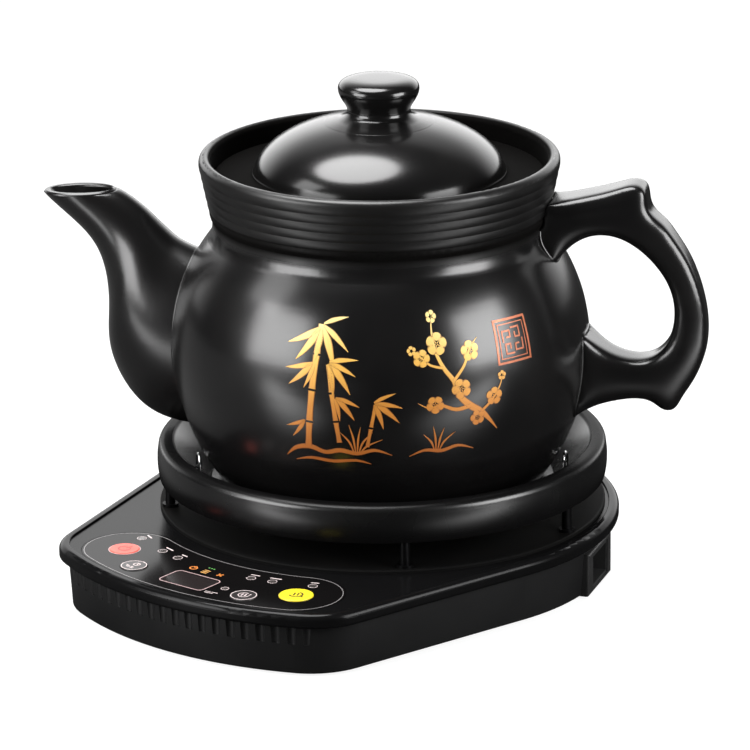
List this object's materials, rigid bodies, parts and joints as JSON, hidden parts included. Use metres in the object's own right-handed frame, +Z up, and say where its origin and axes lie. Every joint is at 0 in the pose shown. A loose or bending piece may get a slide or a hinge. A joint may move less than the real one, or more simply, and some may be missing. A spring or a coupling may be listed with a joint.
{
  "type": "electric herbal medicine pot",
  "caption": "Glazed clay pot with a spout, a strap handle and a lift-off lid, in a heated dish on a low electric base with a button panel.",
  "frame": {"origin": "on the pot's axis at the surface the feet stand on", "axes": "+Z up, -Y towards the base's nose, which carries the control panel"},
  "size_m": [0.3144, 0.3055, 0.2604],
  "materials": {
    "black_glaze": "semi-matt black glaze over clay, with painted gold sprays",
    "gloss_glaze": "glossy black glaze",
    "dish_enamel": "satin black enamel on pressed steel",
    "cast_plate": "cast, as machined",
    "element_steel": "oxidised tube",
    "bushing_ceramic": "unglazed white",
    "zinc_steel": "zinc plated",
    "bright_wire": "bright wire",
    "mica": "pressed mica sheet",
    "shield_paint": "matt black",
    "gloss_black": "high gloss",
    "satin_black": "satin",
    "foot_rubber": "matt",
    "panel_film": "gloss printed film",
    "red_cap": "gloss, pale ring",
    "pale_cap": "gloss, printed symbols",
    "dark_cap": "gloss, printed ring",
    "yellow_cap": "gloss",
    "window_clear": "smoked clear",
    "board_green": "lacquered board",
    "part_black": "moulded",
    "lens_clear": "clear",
    "brass_part": "turned",
    "grey_cable": "flexible",
    "core_steel": "wound and taped",
    "sink_alloy": "extruded",
    "lead_sleeve": "silicone sleeve"
  },
  "bodies": {
    "base": {"heater_dish": "dish_enamel", "heating_plate": "cast_plate", "heating_element": "element_steel", "terminal_bushings": "bushing_ceramic", "plate_sensor": "zinc_steel", "thermal_cutout": "zinc_steel", "cutout_clip": "zinc_steel", "mica_disc": "mica", "heat_shield": "shield_paint", "dish_posts": "zinc_steel", "post_screws": "zinc_steel", "pot_clips": "bright_wire", "upper_shell": "gloss_black", "lower_shell": "satin_black", "rubber_feet": "foot_rubber", "base_screws": "zinc_steel", "panel_overlay": "panel_film", "display_window": "window_clear", "display_module": "part_black", "light_pipes": "lens_clear", "lamp_chips": "pale_cap", "push_switches": "part_black", "control_board": "board_green", "board_pillars": "brass_part", "board_screws": "zinc_steel", "buzzer": "part_black", "ribbon_sockets": "pale_cap", "ribbon_cable": "grey_cable", "power_board": "board_green", "power_pillars": "satin_black", "power_screws": "zinc_steel", "transformer": "core_steel", "relay": "part_black", "heat_sink": "sink_alloy", "capacitors": "part_black", "terminal_block": "pale_cap", "heater_leads": "lead_sleeve", "mains_connector": "pale_cap", "mains_leads": "lead_sleeve", "inlet_housing": "satin_black", "inlet_socket": "part_black", "inlet_pins": "zinc_steel"},
    "pot": {"pot_body": "black_glaze", "pot_spout": "black_glaze", "pot_handle": "black_glaze"},
    "lid": {"lid": "gloss_glaze", "lid_knob": "gloss_glaze"},
    "red_key": {"red_button": "red_cap"},
    "left_key": {"left_button": "pale_cap"},
    "right_key": {"right_button": "dark_cap"},
    "yellow_key": {"yellow_button": "yellow_cap"}
  },
  "joints": [
    {"name": "pot_lift", "type": "slide", "parent": "base", "child": "pot", "axis": [0, 0, 1], "range_m": [0, 0.07]},
    {"name": "lid_lift", "type": "slide", "parent": "pot", "child": "lid", "axis": [0, 0, 1], "range_m": [0, 0.06]},
    {"name": "red_button_press", "type": "slide", "parent": "base", "child": "red_key", "axis": [0, 0, -1], "range_m": [0, 0.0006], "stiffness_N_per_m": 400, "springref_m": -0.0005},
    {"name": "left_button_press", "type": "slide", "parent": "base", "child": "left_key", "axis": [0, 0, -1], "range_m": [0, 0.0006], "stiffness_N_per_m": 400, "springref_m": -0.0005},
    {"name": "right_button_press", "type": "slide", "parent": "base", "child": "right_key", "axis": [0, 0, -1], "range_m": [0, 0.0006], "stiffness_N_per_m": 400, "springref_m": -0.0005},
    {"name": "yellow_button_press", "type": "slide", "parent": "base", "child": "yellow_key", "axis": [0, 0, -1], "range_m": [0, 0.0006], "stiffness_N_per_m": 400, "springref_m": -0.0005}
  ]
}
